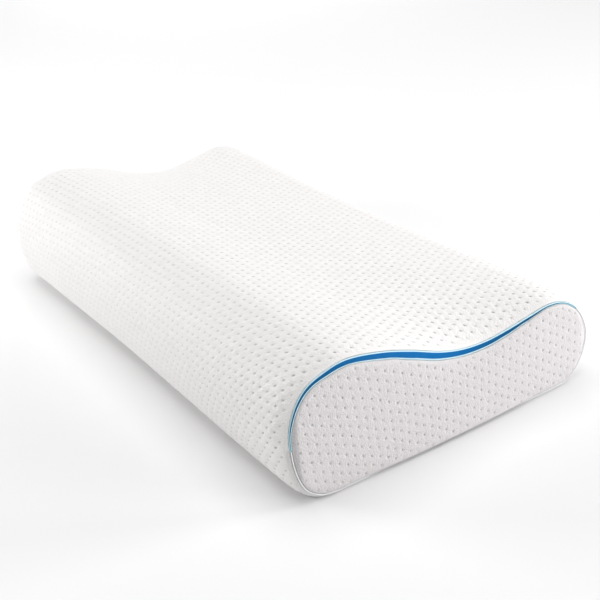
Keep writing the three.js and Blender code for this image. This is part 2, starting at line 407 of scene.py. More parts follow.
class SeamLine:
    """An end's seam line at even steps, with its outward normals and the width of what is sewn into it."""

    def __init__(self, spacing):
        line, places = smooth_line(SEAM_ROWS, CURVE_STEPS)
        y, z, band = line.T
        arc = np.concatenate([[0], np.cumsum(np.hypot(np.diff(y), np.diff(z)))])
        self.arc = np.append(np.arange(0, arc[-1] - spacing / 2, spacing), arc[-1])
        self.y, self.z, self.band, self.row = (np.interp(self.arc, arc, c) for c in (y, z, band, places))
        self.z = np.maximum(self.z, SEAM_ROWS[0][1])
        shifts = (-TANGENT_REACH, TANGENT_REACH)
        fine = [np.interp(self.arc + shift, arc, c) for c in (y, z) for shift in shifts]
        tangent = np.array([fine[1] - fine[0], fine[3] - fine[2]])
        tangent /= np.hypot(*tangent)
        self.out_y, self.out_z = -tangent[1], tangent[0]
        self.has_strip = (self.row >= STRIP_ROWS[0]) & (self.row <= STRIP_ROWS[1])
        edge = np.minimum(STRIP_EDGE_MAX, STRIP_EDGE_SHARE * self.band)
        strip = np.maximum(self.band + 2 * edge, CORD_DIAMETER)
        self.width = np.where(self.has_strip, strip, CORD_DIAMETER)
        top = self.z > SPINE_Z
        self.span_first = np.flatnonzero(top & (self.y >= SPAN_FROM_Y))[0]
        self.span_last = np.flatnonzero(top & (self.y <= SPAN_TO_Y))[-1]
        across = (self.y - SHOULDER_Y) / SHOULDER_REACH
        self.shoulder = np.where(top, SHOULDER_LIFT * np.maximum(1 - across**2, 0) ** 2, 0)

    def section(self, x, out):
        """The filled wrap's section at each x, `out` mm outside the seam line, resting on the base."""
        x = np.atleast_1d(np.asarray(x, float))[:, None]
        back = np.clip(self.y / LOBE_Y, 0, 1)
        front = np.clip(-self.y / LOBE_Y, 0, 1)
        shift = along(SLUMP, x) * front * (self.z - SLUMP_Z) / SLUMP_REACH - along(BACK_IN, x) * back
        y = self.y + self.out_y * out + shift
        z = np.maximum(self.z + self.out_z * out, 0) + np.zeros_like(y)
        first, last = self.span_first, self.span_last
        share = (y - y[:, [first]]) / (y[:, [last]] - y[:, [first]])
        line = z[:, [first]] + share * (z[:, [last]] - z[:, [first]])
        place = np.arange(len(self.y))
        rise = np.where((place > first) & (place < last), np.maximum(line - z, 0), 0)
        taut = SPAN_SHARE * (1 - np.exp((np.abs(x) - HALF_LENGTH) / SPAN_REACH))
        return y, z + taut * (rise + self.shoulder)

    def wrap_edge(self, facing, drawn_in):
        y, z = self.section(facing * HALF_LENGTH, self.width / 2 + GAP - drawn_in)
        return y[0], z[0]

    def on_face(self, facing, drawn_in, inset, lift):
        """Points of the crowned end face, `inset` mm inside the wrap's edge and `lift` mm above the face."""
        y, z = self.wrap_edge(facing, drawn_in)
        reach = y * self.out_y + (z - SPINE_Z) * self.out_z
        share = 1 - inset / reach
        x = facing * (HALF_LENGTH + END_CROWN * (1 - share**CROWN_POWER) + lift)
        return np.column_stack([x, y * share, SPINE_Z + (z - SPINE_Z) * share])


def add_node(tree, kind, inputs=(), **settings):
    """Adds a node with its settings and links. Its inputs, by place or by name, are values or sockets."""
    made = tree.nodes.new(kind)
    for name, value in settings.items():
        setattr(made, name, value)
    for key, value in inputs.items() if isinstance(inputs, dict) else enumerate(inputs):
        if isinstance(value, bpy.types.NodeSocket):
            tree.links.new(value, made.inputs[key])
        else:
            made.inputs[key].default_value = value
    return made


def opaque(colour, share=1.0):
    """A colour of four channels, darkened to a share of itself."""
    return (*[channel * share for channel in colour], 1)


def plain_material(name, roughness, specular):
    """A new material, its tree and its shader, with its roughness and gloss set."""
    made = bpy.data.materials.new(name)
    made.use_nodes = True
    shader = made.node_tree.nodes["Principled BSDF"]
    shader.inputs["Roughness"].default_value = roughness
    shader.inputs["Specular IOR Level"].default_value = specular
    return made, made.node_tree, shader


def dimple_distance(tree, u, v, settings):
    """Distance to the nearest dimple of an even triangular lattice, for a shader or a geometry tree.

    Each dimple is a little longer one way, so distance counts for less along that way and for more across it.
    """
    half_u = settings.pitch / MM / 2
    half_v = settings.pitch / MM * ROW_RATIO
    cos, sin = math.cos(settings.lean), math.sin(settings.lean)
    longer = (cos / settings.stretch, sin / settings.stretch)
    shorter = (-sin * settings.stretch, cos * settings.stretch)
    squares = []
    for shift_u, shift_v in ((0.0, 0.0), (half_u, half_v)):
        away = []
        for place, shift, half in ((u, shift_u, half_u), (v, shift_v, half_v)):
            moved = add_node(tree, "ShaderNodeMath", (place, shift), operation="ADD").outputs[0]
            away.append(add_node(tree, "ShaderNodeMath", (moved, half, -half), operation="WRAP").outputs[0])
        for du, dv in (longer, shorter):
            part = add_node(tree, "ShaderNodeMath", (away[1], dv), operation="MULTIPLY").outputs[0]
            part = add_node(tree, "ShaderNodeMath", (away[0], du, part), operation="MULTIPLY_ADD").outputs[0]
            squares.append(add_node(tree, "ShaderNodeMath", (part, part), operation="MULTIPLY").outputs[0])
    near, other = (
        add_node(tree, "ShaderNodeMath", squares[i : i + 2], operation="ADD").outputs[0] for i in (0, 2)
    )
    nearest = add_node(tree, "ShaderNodeMath", (near, other), operation="MINIMUM").outputs[0]
    return add_node(tree, "ShaderNodeMath", (nearest,), operation="SQRT").outputs[0]


def mesh_object(name, vertices, faces, attribute=None):
    """A smooth mesh object from points in mm, with an optional vector attribute on its points."""
    mesh = bpy.data.meshes.new(name)
    mesh.from_pydata((np.asarray(vertices, float) * MM).tolist(), [], [tuple(f) for f in faces])
    if attribute is not None:
        label, values = attribute
        layer = mesh.attributes.new(label, "FLOAT_VECTOR", "POINT")
        layer.data.foreach_set("vector", np.asarray(values, np.float32).ravel())
    work = bmesh.new()
    work.from_mesh(mesh)
    bmesh.ops.recalc_face_normals(work, faces=work.faces)
    work.to_mesh(mesh)
    work.free()
    mesh.shade_smooth()
    made = bpy.data.objects.new(name, mesh)
    bpy.context.scene.collection.objects.link(made)
    return made


def lofted(name, rings, label, values):
    """A closed solid through rings of points in mm, its ends closed by fans, with a vector on each point."""
    rings, values = np.asarray(rings, float), np.asarray(values, float)
    count = rings.shape[1]
    total = rings.shape[0] * count
    here = np.arange(total - count).reshape(-1, count)
    beside = np.roll(here, -1, 1)
    faces = np.stack([here, beside, beside + count, here + count], -1).reshape(-1, 4).tolist()
    for base, middle in ((0, total), (total - count, total + 1)):
        faces += [(base + i, base + (i + 1) % count, middle) for i in range(count)]
    points, marks = (np.vstack([a.reshape(-1, 3), a[0].mean(0), a[-1].mean(0)]) for a in (rings, values))
    return mesh_object(name, points, faces, (label, marks))


def tree_with(name, sizes):
    """A geometry tree with inputs for a mesh, its sizes and its material, and the tree's two group nodes."""
    tree = bpy.data.node_groups.new(name, "GeometryNodeTree")
    tree.interface.new_socket("Geometry", in_out="OUTPUT", socket_type="NodeSocketGeometry")
    tree.interface.new_socket("Geometry", in_out="INPUT", socket_type="NodeSocketGeometry")
    for label in sizes:
        tree.interface.new_socket(label, in_out="INPUT", socket_type="NodeSocketFloat")
    tree.interface.new_socket("Material", in_out="INPUT", socket_type="NodeSocketMaterial")
    return tree, add_node(tree, "NodeGroupInput"), add_node(tree, "NodeGroupOutput")


def finish_tree(tree, geometry, material, output):
    """Ends a tree: instances become real, and the material is set."""
    real = add_node(tree, "GeometryNodeRealizeInstances", {"Geometry": geometry})
    painted = add_node(tree, "GeometryNodeSetMaterial", {"Geometry": real.outputs[0], "Material": material})
    tree.links.new(painted.outputs[0], output.inputs[0])


def with_tree(piece, tree, values):
    """Runs a geometry tree on a piece and keeps the result as the piece's plain mesh."""
    modifier = piece.modifiers.new(tree.name, "NODES")
    modifier.node_group = tree
    sockets = {s.name: s.identifier for s in tree.interface.items_tree if s.in_out == "INPUT"}
    for label, value in values.items():
        modifier[sockets[label]] = value
    apply_modifiers(piece)


def apply_modifiers(piece):
    """Makes what a piece's modifiers give into its plain mesh."""
    bpy.context.view_layer.update()
    shape = piece.evaluated_get(bpy.context.evaluated_depsgraph_get())
    mesh = bpy.data.meshes.new_from_object(shape)
    piece.modifiers.clear()
    old = piece.data
    piece.data = mesh
    if old.users == 0:
        bpy.data.meshes.remove(old)
    mesh.name = piece.name


def dimple_tree(name, settings):
    """Draws a cloth in along its normals at every point of the dimple lattice.

    The cloth attribute holds the place along and across the cloth in mm, and how freely it can be drawn in.
    """
    tree, given, output = tree_with(name, ("Depth", "Radius"))
    cloth = add_node(tree, "GeometryNodeInputNamedAttribute", {"Name": "cloth"}, data_type="FLOAT_VECTOR")
    place = add_node(tree, "ShaderNodeSeparateXYZ", (cloth.outputs["Attribute"],))
    distance = dimple_distance(tree, place.outputs["X"], place.outputs["Y"], settings)
    pull = add_node(
        tree, "ShaderNodeMapRange", (distance, 0.0, given.outputs["Radius"], 1.0, 0.0),
        interpolation_type="SMOOTHSTEP",
    ).outputs[0]
    for factor in (place.outputs["Z"], given.outputs["Depth"], -1.0):
        pull = add_node(tree, "ShaderNodeMath", (pull, factor), operation="MULTIPLY").outputs[0]
    normal = add_node(tree, "GeometryNodeInputNormal").outputs[0]
    offset = add_node(tree, "ShaderNodeVectorMath", {0: normal, "Scale": pull}, operation="SCALE")
    moved = add_node(
        tree, "GeometryNodeSetPosition", {"Geometry": given.outputs["Geometry"], "Offset": offset.outputs[0]}
    )
    finish_tree(tree, moved.outputs[0], given.outputs["Material"], output)
    return tree


def cloth_material(name, settings, roughness, sheen):
    """A knit with drawn-in dimples: matt loops, faintly uneven yarn, and painted shade in the pinhole of each
    dimple.
    """
    made, tree, shader = plain_material(name, roughness, specular=0.25)
    shader.inputs["Sheen Weight"].default_value = sheen
    cloth = add_node(tree, "ShaderNodeAttribute", attribute_name="cloth").outputs["Vector"]
    place = add_node(tree, "ShaderNodeSeparateXYZ", (cloth,)).outputs
    uneven, grain = (
        add_node(tree, "ShaderNodeTexNoise", {"Vector": cloth, "Scale": 1 / size, "Detail": fine}).outputs[0]
        for size, fine in ((YARN_PATCH, PATCH_DETAIL), (YARN_GRAIN, GRAIN_DETAIL))
    )
    # Painted shade in each dimple's pinhole: darkest at its middle, weaker in random patches, and scaled by
    # how freely the knit is drawn in there.
    weak = add_node(tree, "ShaderNodeMapRange", (uneven, *WEAK_RANGE, WEAK_DIMPLE, 1.0)).outputs[0]
    distance = dimple_distance(tree, place["X"], place["Y"], settings)
    pinhole = add_node(
        tree, "ShaderNodeMapRange", (distance, 0.0, settings.pinhole / MM, weak, 0.0),
        interpolation_type="SMOOTHSTEP",
    ).outputs[0]
    shaded = add_node(tree, "ShaderNodeMath", (pinhole, place["Z"]), operation="MULTIPLY").outputs[0]
    worn = add_node(tree, "ShaderNodeMapRange", (uneven, *YARN_RANGE, 0.0, 1.0)).outputs[0]
    yarn = add_node(
        tree, "ShaderNodeMix",
        {"Factor": worn, "A": opaque(settings.colour, YARN_DARK), "B": opaque(settings.colour)},
        data_type="RGBA",
    ).outputs["Result"]
    # The yarn is darkened towards the painted shade colour in the dimples.
    colour = add_node(
        tree, "ShaderNodeMix", {"Factor": shaded, "A": yarn, "B": opaque(settings.painted_shade)}, data_type="RGBA"
    )
    tree.links.new(colour.outputs["Result"], shader.inputs["Base Color"])
    waves = []
    for axis, spacing in (("X", LOOP_WALE), ("Y", LOOP_COURSE)):
        turn = add_node(tree, "ShaderNodeMath", (place[axis], 2 * math.pi / spacing), operation="MULTIPLY")
        waves.append(add_node(tree, "ShaderNodeMath", (turn.outputs[0],), operation="SINE").outputs[0])
    loops = add_node(tree, "ShaderNodeMath", waves, operation="MULTIPLY").outputs[0]
    rough = add_node(tree, "ShaderNodeMath", (grain, GRAIN_HIGH / LOOP_HIGH, loops), operation="MULTIPLY_ADD")
    pit = add_node(tree, "ShaderNodeMath", (shaded, -PINHOLE_DEEP), operation="MULTIPLY").outputs[0]
    relief = add_node(tree, "ShaderNodeMath", (rough.outputs[0], LOOP_HIGH, pit), operation="MULTIPLY_ADD")
    bump = add_node(tree, "ShaderNodeBump", {"Height": relief.outputs[0], "Distance": MM})
    tree.links.new(bump.outputs[0], shader.inputs["Normal"])
    return made


def wander(a, b):
    """A slow, smooth unevenness between -1 and 1 of a knit at each place on it, in mm."""
    slow = np.sin(a / WANDER_LONG[0] + WANDER_START[0]) * np.cos(b / WANDER_LONG[1] + WANDER_START[1])
    return (slow + np.sin(a / WANDER_SHORT[0] - b / WANDER_SHORT[1] + WANDER_START[2])) / 2


def wrap_columns(spacing):
    """Places of the knit's columns along the wrap, closer where an end rounds over into its seam."""
    tight = np.array(EDGE_COLUMNS)
    reach = math.floor((HALF_LENGTH - tight[-1] - spacing / 2) / spacing)
    middle = np.arange(-reach, reach + 1) * spacing
    return np.concatenate([tight - HALF_LENGTH, middle, HALF_LENGTH - tight[::-1]])


def full_swell(seam, x):
    """How far the wrap stands outside the seam line at each x, before its ends round over."""
    return along(SWELL, x)[:, None] + np.zeros_like(seam.y)


def swell_at(seam, x):
    """How far the wrap stands outside the seam line, at each x and each point of the seam line."""
    full = full_swell(seam, x)
    for _, facing, drawn_in in ENDS:
        inwards = HALF_LENGTH - facing * x
        near = np.clip(inwards / END_ROUND, 0, 1)[:, None]
        share = (1 - (1 - near) ** 2) ** np.where(seam.has_strip, STRIP_ROUNDING, CORD_ROUNDING)
        edge = seam.width / 2 + GAP + np.where(seam.has_strip, STRIP_LIP, WRAP_LIP) - drawn_in
        full = np.where(near < 1, edge + (full - edge) * share, full)
    return full


def knit_rows(spacing):
    """The knit's own rows, and where each lies round the wrap: they are eased closer down the front."""
    first = math.ceil((KNIT_FROM - FRONT_EASE * (FRONT_EASE_END - KNIT_FROM)) / spacing)
    rows = np.arange(first, math.floor(KNIT_TO / spacing) + 1) * spacing
    eased = (rows + FRONT_EASE * FRONT_EASE_END) / (1 + FRONT_EASE)
    return rows, np.where(rows < FRONT_EASE_END, eased, rows)


def wrap_rings(seam, column_spacing, row_spacing):
    """Rings of the wrap from its left face to its right face, with the cloth coordinates of each point."""
    columns = wrap_columns(column_spacing)
    rows, round_wrap = knit_rows(row_spacing)
    swollen = np.stack(seam.section(columns, full_swell(seam, columns)), -1)
    steps = np.hypot(*np.moveaxis(np.diff(swollen, axis=1), -1, 0))
    arc = np.concatenate([np.zeros((len(columns), 1)), np.cumsum(steps, 1)], 1)
    y, z = seam.section(columns, swell_at(seam, columns))
    rings = []
    across = []
    for i, column in enumerate(columns):
        aligned = round_wrap + ROW_DRIFT * column
        lead = np.linspace(0, aligned[0], LEAD_ROWS + 1)[:-1]
        tail = np.linspace(aligned[-1], arc[i, -1], TAIL_ROWS + 1)[1:]
        places = np.concatenate([lead, aligned, tail])
        rings.append(np.column_stack([np.interp(places, arc[i], y[i]), np.interp(places, arc[i], z[i])]))
        across.append(np.concatenate([lead - aligned[0] + rows[0], rows, tail - aligned[-1] + rows[-1]]))
    rings, across = np.array(rings), np.array(across)
    lean = FRONT_LEAN * np.maximum(FRONT_EASE_END - across, 0)
    fade = np.clip((HALF_LENGTH - np.abs(columns)) / LEAN_FADE, 0, 1)[:, None]
    x = columns[:, None] - lean * fade * np.clip(across / KNIT_FROM, 0, 1)
    along_cloth = columns[:, None] + UNEVEN * wander(x, across)
    across = across + UNEVEN * wander(across, x)
    for k in range(x.shape[1]):
        for axis in (0, 1):
            rings[:, k, axis] = np.interp(x[:, k], columns, rings[:, k, axis])
    near_end = np.clip((HALF_LENGTH - SEAM_BARE - np.abs(x)) / SEAM_FADE, 0, 1)
    off_base = np.clip((rings[..., 1] - BASE_BARE) / BASE_FADE, 0, 1)
    slack = np.interp(across, SLACK_PLACES, SLACK_ROUND)
    slack += (SLACK_RIGHT - slack) * np.clip((x / HALF_LENGTH + 1) / 2, 0, 1) ** SLACK_POWER
    wrap = np.concatenate([x[..., None], rings], -1)
    # The third value sets how deep the dimples are drawn in and how dark their painted shade is.
    cloth = np.stack([along_cloth, across, near_end * off_base * slack], -1)
    front, back = wrap[:, :1], wrap[:, -1:]
    share = (np.arange(1, BASE_ROWS) / BASE_ROWS)[None, :, None]
    base = back + (front - back) * share
    base_cloth = np.repeat(cloth[:, -1:], BASE_ROWS - 1, axis=1)
    base_cloth[..., 1] += share[..., 0] * BASE_WIDTH
    base_cloth[..., 2] = 0
    return np.concatenate([wrap, base], 1), np.concatenate([cloth, base_cloth], 1)


def face_rings(edge_ring, facing):
    """Rings that turn the wrap's edge over into its seam and close its crowned end face behind the panel."""
    middle = np.array([0.0, SPINE_Z])
    spread = edge_ring[:, 1:] - middle
    size = np.hypot(*spread.T)[:, None]
    rings = []
    for lift, inset in LIP_STEPS:
        ring = edge_ring.copy()
        ring[:, 0] += facing * lift
        ring[:, 1:] = middle + spread * (1 - inset / size)
        rings.append(ring)
    for share in FACE_SHARES:
        ring = edge_ring.copy()
        ring[:, 0] += facing * END_CROWN * (1 - share**CROWN_POWER) * FACE_SUNK
        ring[:, 1:] = middle + spread * share
        rings.append(ring)
    return rings


def make_wrap(settings):
    pitch = settings.pitch / MM
    rings, cloth = wrap_rings(SeamLine(SEAM_SPACING), pitch / WRAP_STEPS, pitch * ROW_RATIO / WRAP_STEPS)
    left = face_rings(rings[0], -1)
    right = face_rings(rings[-1], 1)
    undimpled = np.array([1.0, 1.0, 0.0])
    all_rings = [*left[::-1], *rings, *right]
    all_cloth = [*[cloth[0] * undimpled for _ in left], *cloth, *[cloth[-1] * undimpled for _ in right]]
    wrap = lofted("knitted_wrap", all_rings, "cloth", all_cloth)
    # Polyester and viscose air-layer jacquard, circular knitted: matt white with soft drawn-in dimples.
    knit = cloth_material("Air-layer jacquard knit, wrap", settings, roughness=0.88, sheen=0.12)
    tree = dimple_tree("Dimpled wrap", settings)
    with_tree(wrap, tree, {"Depth": settings.depth, "Radius": settings.radius / MM, "Material": knit})
    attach(wrap, BODY)
    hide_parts("pillow_body")


def inside_outline(points, outline):
    """Which points lie inside a closed outline, and how far each is from it."""
    inside = np.zeros(len(points), bool)
    nearest = np.full(len(points), np.inf)
    for a, b in zip(outline, np.roll(outline, -1, 0)):
        crosses = (a[1] > points[:, 1]) != (b[1] > points[:, 1])
        with np.errstate(divide="ignore", invalid="ignore"):
            meets = (b[0] - a[0]) * (points[:, 1] - a[1]) / (b[1] - a[1]) + a[0]
        inside ^= crosses & (points[:, 0] < meets)
        span = b - a
        t = np.clip((points - a) @ span / (span @ span), 0, 1)
        nearest = np.minimum(nearest, np.hypot(*(points - a - t[:, None] * span).T))
    return inside, nearest


def end_panel_mesh(name, facing, drawn_in, settings):
    """The front face of an end panel, meshed on its own dimple lattice, on the crown of the end."""
    seam = SeamLine(PANEL_SEAM_SPACING)
    outline = seam.on_face(facing, drawn_in, seam.width + 2 * GAP, 0)[:, 1:]
    share = (np.arange(1, PANEL_BASE_STEPS) / PANEL_BASE_STEPS)[:, None]
    outline = np.vstack([outline, outline[-1] + (outline[0] - outline[-1]) * share])
    pitch = settings.pitch / MM
    columns = np.arange(-PANEL_HALF_COLUMNS, PANEL_HALF_COLUMNS + 1) * (pitch * ROW_RATIO / PANEL_STEPS)
    rows = np.arange(*PANEL_ROWS) * (pitch / PANEL_STEPS)
    grid = np.stack(np.meshgrid(columns, rows), -1).reshape(-1, 2)
    inside, distance = inside_outline(grid, outline)
    grid = grid[inside & (distance > PANEL_CLEAR)]
    points = np.vstack([outline, grid])
    count = len(outline)
    edges = [(i, (i + 1) % count) for i in range(count)]
    vertices, _, faces, *_ = delaunay_2d_cdt([Vector(p) for p in points.tolist()], edges, [], 1, WELD)
    flat = np.array([tuple(p) for p in vertices])
    _, distance = inside_outline(flat, outline)
    edge_y, edge_z = seam.wrap_edge(facing, drawn_in)
    angle = np.arctan2(edge_z - SPINE_Z, edge_y)
    order = np.argsort(angle)
    radius = np.interp(
        np.arctan2(flat[:, 1] - SPINE_Z, flat[:, 0]),
        angle[order],
        np.hypot(edge_y, edge_z - SPINE_Z)[order],
        period=2 * math.pi,
    )
    share = np.clip(np.hypot(flat[:, 0], flat[:, 1] - SPINE_Z) / radius, 0, 1)
    near_edge = 1 - np.clip(distance / (settings.edge_reach / MM), 0, 1)
    dip = settings.edge_dip / MM * near_edge**2
    x = facing * (HALF_LENGTH + END_CROWN * (1 - share**CROWN_POWER) + PANEL_LIFT - dip)
    # How far in from the seam the dimples come, which also sets how dark their painted shade is.
    relief = np.clip((distance - PANEL_BARE) / PANEL_FADE, 0, 1)
    bend = np.clip(flat[:, 0] - PANEL_LEVEL_Y, *PANEL_BEND_REACH)
    slope = -PANEL_BEND * bend
    rise = slope * (flat[:, 0] - PANEL_LEVEL_Y - bend / 2)
    up_panel = flat[:, 1] - rise + UNEVEN * wander(flat[:, 1], flat[:, 0])
    along_panel = (flat[:, 0] + slope * (flat[:, 1] - SPINE_Z)) * PANEL_STRETCH
    along_panel += UNEVEN * wander(flat[:, 0], flat[:, 1])
    cloth = np.column_stack([up_panel, along_panel, relief])
    mesh = mesh_object(name, np.column_stack([x, flat]), faces, ("cloth", cloth))
    if mesh.data.polygons[0].normal.x * facing < 0:
        mesh.data.flip_normals()
    return mesh, outline


def make_end_panels(settings):
    # The same knit cut across its length and held flat, so its dimples read larger. Its colour is painted
    # darker and greyer than the wrap's: painted shade for the end faces, which get less light.
    knit = cloth_material("Air-layer jacquard knit, end panel", settings, roughness=0.9, sheen=0.08)
    tree = dimple_tree("Dimpled end panel", settings)
    for side, facing, drawn_in in ENDS:
        panel, outline = end_panel_mesh(f"end_cloth_{side}", facing, drawn_in, settings)
        with_tree(panel, tree, {"Depth": settings.depth, "Radius": settings.radius / MM, "Material": knit})
        wall = panel.modifiers.new("Thickness", "SOLIDIFY")
        wall.thickness = settings.thickness
        wall.offset = -1
        apply_modifiers(panel)
        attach(panel, BODY)
        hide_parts(f"end_panel_{side}")


def strip_material(settings):
    """A satin-woven strip: saturated blue between two pale edges, deeper where the strip narrows."""
    made, tree, shader = plain_material("Satin-woven polyester strip", roughness=0.6, specular=0.08)
    strip = add_node(tree, "ShaderNodeAttribute", attribute_name="strip").outputs["Vector"]
    place = add_node(tree, "ShaderNodeSeparateXYZ", (strip,)).outputs
    colour = opaque(settings.colour)
    for bands, other in ((DEEP_BANDS, settings.deep), (TIP_BANDS, settings.tip)):
        narrow = add_node(tree, "ShaderNodeMapRange", (place["Z"], *bands, 1.0, 0.0)).outputs[0]
        colour = add_node(
            tree, "ShaderNodeMix", {"Factor": narrow, "A": colour, "B": opaque(other)}, data_type="RGBA"
        ).outputs["Result"]
    shifted = add_node(tree, "ShaderNodeMath", (place["Y"], CORE_SHIFT), operation="ADD").outputs[0]
    aside = add_node(tree, "ShaderNodeMath", (shifted,), operation="ABSOLUTE").outputs[0]
    core = add_node(tree, "ShaderNodeMapRange", (place["Z"], *CORE_BANDS, *CORE_SHARES)).outputs[0]
    past = add_node(tree, "ShaderNodeMath", (aside, core), operation="SUBTRACT").outputs[0]
    edge = add_node(tree, "ShaderNodeMapRange", (past, 0.0, CORE_SOFT, 0.0, 1.0)).outputs[0]
    colour = add_node(
        tree, "ShaderNodeMix", {"Factor": edge, "A": colour, "B": opaque(settings.edge)}, data_type="RGBA"
    )
    tree.links.new(colour.outputs["Result"], shader.inputs["Base Color"])
    turn = add_node(tree, "ShaderNodeMath", (place["X"], 2 * math.pi / WEFT_SPACING), operation="MULTIPLY")
    weft = add_node(tree, "ShaderNodeMath", (turn.outputs[0],), operation="SINE").outputs[0]
    height = add_node(tree, "ShaderNodeMath", (weft, WEFT_HIGH), operation="MULTIPLY").outputs[0]
    bump = add_node(tree, "ShaderNodeBump", {"Height": height, "Distance": MM})
    tree.links.new(bump.outputs[0], shader.inputs["Normal"])
    return made


def strip_ring(edge, panel_edge, width, facing):
    """One cross-section of the strip, flat underneath and softly domed on top."""
    top = np.linspace(-1, 1, STRIP_COLUMNS)
    under = (1, 0, -1)
    rise = STRIP_THICK - (STRIP_THICK - STRIP_SIDE) * top**2
    across = np.concatenate([top, under])
    lift = np.concatenate([rise, np.zeros(len(under))]) + GAP
    depth = GAP + width * (across + 1) / 2
    ring = edge + (panel_edge - edge) * (depth / (width + 2 * GAP))[:, None]
    ring[:, 0] += facing * lift
    return ring, across


def make_strips(settings):
    satin = strip_material(settings)
    seam = SeamLine(SEAM_SPACING)
    for side, facing, drawn_in in ENDS:
        y, z = seam.wrap_edge(facing, drawn_in)
        edges = np.column_stack([np.full(len(y), facing * HALF_LENGTH), y, z])
        panel_edges = seam.on_face(facing, drawn_in, seam.width + 2 * GAP, 0)
        rings = []
        values = []
        for i in np.flatnonzero(seam.has_strip):
            ring, across = strip_ring(edges[i], panel_edges[i], seam.width[i], facing)
            rings.append(ring)
            values.append([(seam.arc[i], a, seam.band[i]) for a in across])
        strip = lofted(f"blue_strip_{side}", rings, "strip", values)
        strip.data.materials.append(satin)
        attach(strip, BODY)
        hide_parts(f"band_{side}")


def line_object(name, points):
    """A plain line of points in mm for a tree to follow."""
    mesh = bpy.data.meshes.new(name)
    mesh.from_pydata((np.asarray(points) * MM).tolist(), [(i, i + 1) for i in range(len(points) - 1)], [])
    made = bpy.data.objects.new(name, mesh)
    bpy.context.scene.collection.objects.link(made)
    return made


def cord_tree():
    """A round cord along a line."""
    tree, given, output = tree_with("Seam cord", ("Radius",))
    line = add_node(tree, "GeometryNodeMeshToCurve", {"Mesh": given.outputs["Geometry"]})
    radius = given.outputs["Radius"]
    circle = add_node(tree, "GeometryNodeCurvePrimitiveCircle", {"Resolution": CORD_SIDES, "Radius": radius})
    tube = add_node(
        tree, "GeometryNodeCurveToMesh",
        {"Curve": line.outputs[0], "Profile Curve": circle.outputs[0], "Fill Caps": True},
    )
    smooth = add_node(tree, "GeometryNodeSetShadeSmooth", {"Geometry": tube.outputs[0]})
    finish_tree(tree, smooth.outputs[0], given.outputs["Material"], output)
    return tree


def cord_material(settings):
    """A fine cotton-covered cord: off-white and matt, with a faint unevenness along it."""
    made, tree, shader = plain_material("Covered cotton piping cord", roughness=0.8, specular=0.3)
    place = add_node(tree, "ShaderNodeTexCoord").outputs["Object"]
    noise = add_node(tree, "ShaderNodeTexNoise", {"Vector": place, "Scale": 1 / (COVER_PATCH * MM)})
    uneven = noise.outputs[0]
    colour = add_node(
        tree, "ShaderNodeMix",
        {"Factor": uneven, "A": opaque(settings.colour, COVER_DARK), "B": opaque(settings.colour)},
        data_type="RGBA",
    )
    bump = add_node(tree, "ShaderNodeBump", {"Height": uneven, "Distance": COVER_RELIEF * MM})
    tree.links.new(colour.outputs["Result"], shader.inputs["Base Color"])
    tree.links.new(bump.outputs[0], shader.inputs["Normal"])
    return made


def make_cords(settings):
    cover = cord_material(settings)
    tree = cord_tree()
    seam = SeamLine(SEAM_SPACING)
    for side, facing, drawn_in in ENDS:
        line = seam.on_face(facing, drawn_in, GAP + seam.width / 2, GAP + CORD_DIAMETER / 2)
        strip = np.flatnonzero(seam.has_strip)
        first, last = line[strip[0]], line[strip[-1]]
        path = np.vstack([line[strip[-1] + 1 :], line[: strip[0]]])
        start = last + (path[0] - last) * min(1, TIP_GAP / np.linalg.norm(path[0] - last))
        stop = first + (path[-1] - first) * min(1, TIP_GAP / np.linalg.norm(path[-1] - first))
        cord = line_object(f"seam_cord_{side}", np.vstack([start, path, stop]))
        with_tree(cord, tree, {"Radius": settings.diameter / 2, "Material": cover})
        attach(cord, BODY)
        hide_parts(f"piping_{side}")


def stitch_tree():
    """Stitches at even steps along a line, each a short thread that lies along it."""
    tree, given, output = tree_with("Seam stitches", ("Spacing", "Length", "Thread"))
    line = add_node(tree, "GeometryNodeMeshToCurve", {"Mesh": given.outputs["Geometry"]})
    stepped = {"Curve": line.outputs[0], "Length": given.outputs["Spacing"]}
    steps = add_node(tree, "GeometryNodeCurveToPoints", stepped, mode="LENGTH")
    # A stitch of unit size, which each point of the line scales and turns.
    unit = {"Segments": STITCH_SEGMENTS, "Rings": STITCH_RINGS, "Radius": 1 / 2}
    thread = add_node(tree, "GeometryNodeMeshUVSphere", unit)
    thick = given.outputs["Thread"]
    size = add_node(tree, "ShaderNodeCombineXYZ", (thick, thick, given.outputs["Length"]))
    tangent = steps.outputs["Tangent"]
    turned = add_node(tree, "FunctionNodeAlignRotationToVector", {"Vector": tangent}, axis="Z")
    laid = add_node(
        tree, "GeometryNodeInstanceOnPoints",
        {"Points": steps.outputs["Points"], "Instance": thread.outputs["Mesh"], "Rotation": turned.outputs[0],
         "Scale": size.outputs[0]},
    )
    finish_tree(tree, laid.outputs[0], given.outputs["Material"], output)
    return tree


def thread_material(settings):
    """Spun polyester sewing thread: off-white, with a slight shine."""
    made, tree, shader = plain_material("Spun polyester sewing thread", roughness=0.6, specular=0.5)
    place = add_node(tree, "ShaderNodeTexCoord").outputs["Object"]
    fibre = add_node(tree, "ShaderNodeTexNoise", {"Vector": place, "Scale": 1 / (THREAD_PATCH * MM)})
    light, dark = opaque(settings.thread_colour), opaque(settings.thread_colour, THREAD_DARK)
    colour = add_node(
        tree, "ShaderNodeMix", {"Factor": fibre.outputs[0], "A": dark, "B": light}, data_type="RGBA"
    )
    tree.links.new(colour.outputs["Result"], shader.inputs["Base Color"])
    return made


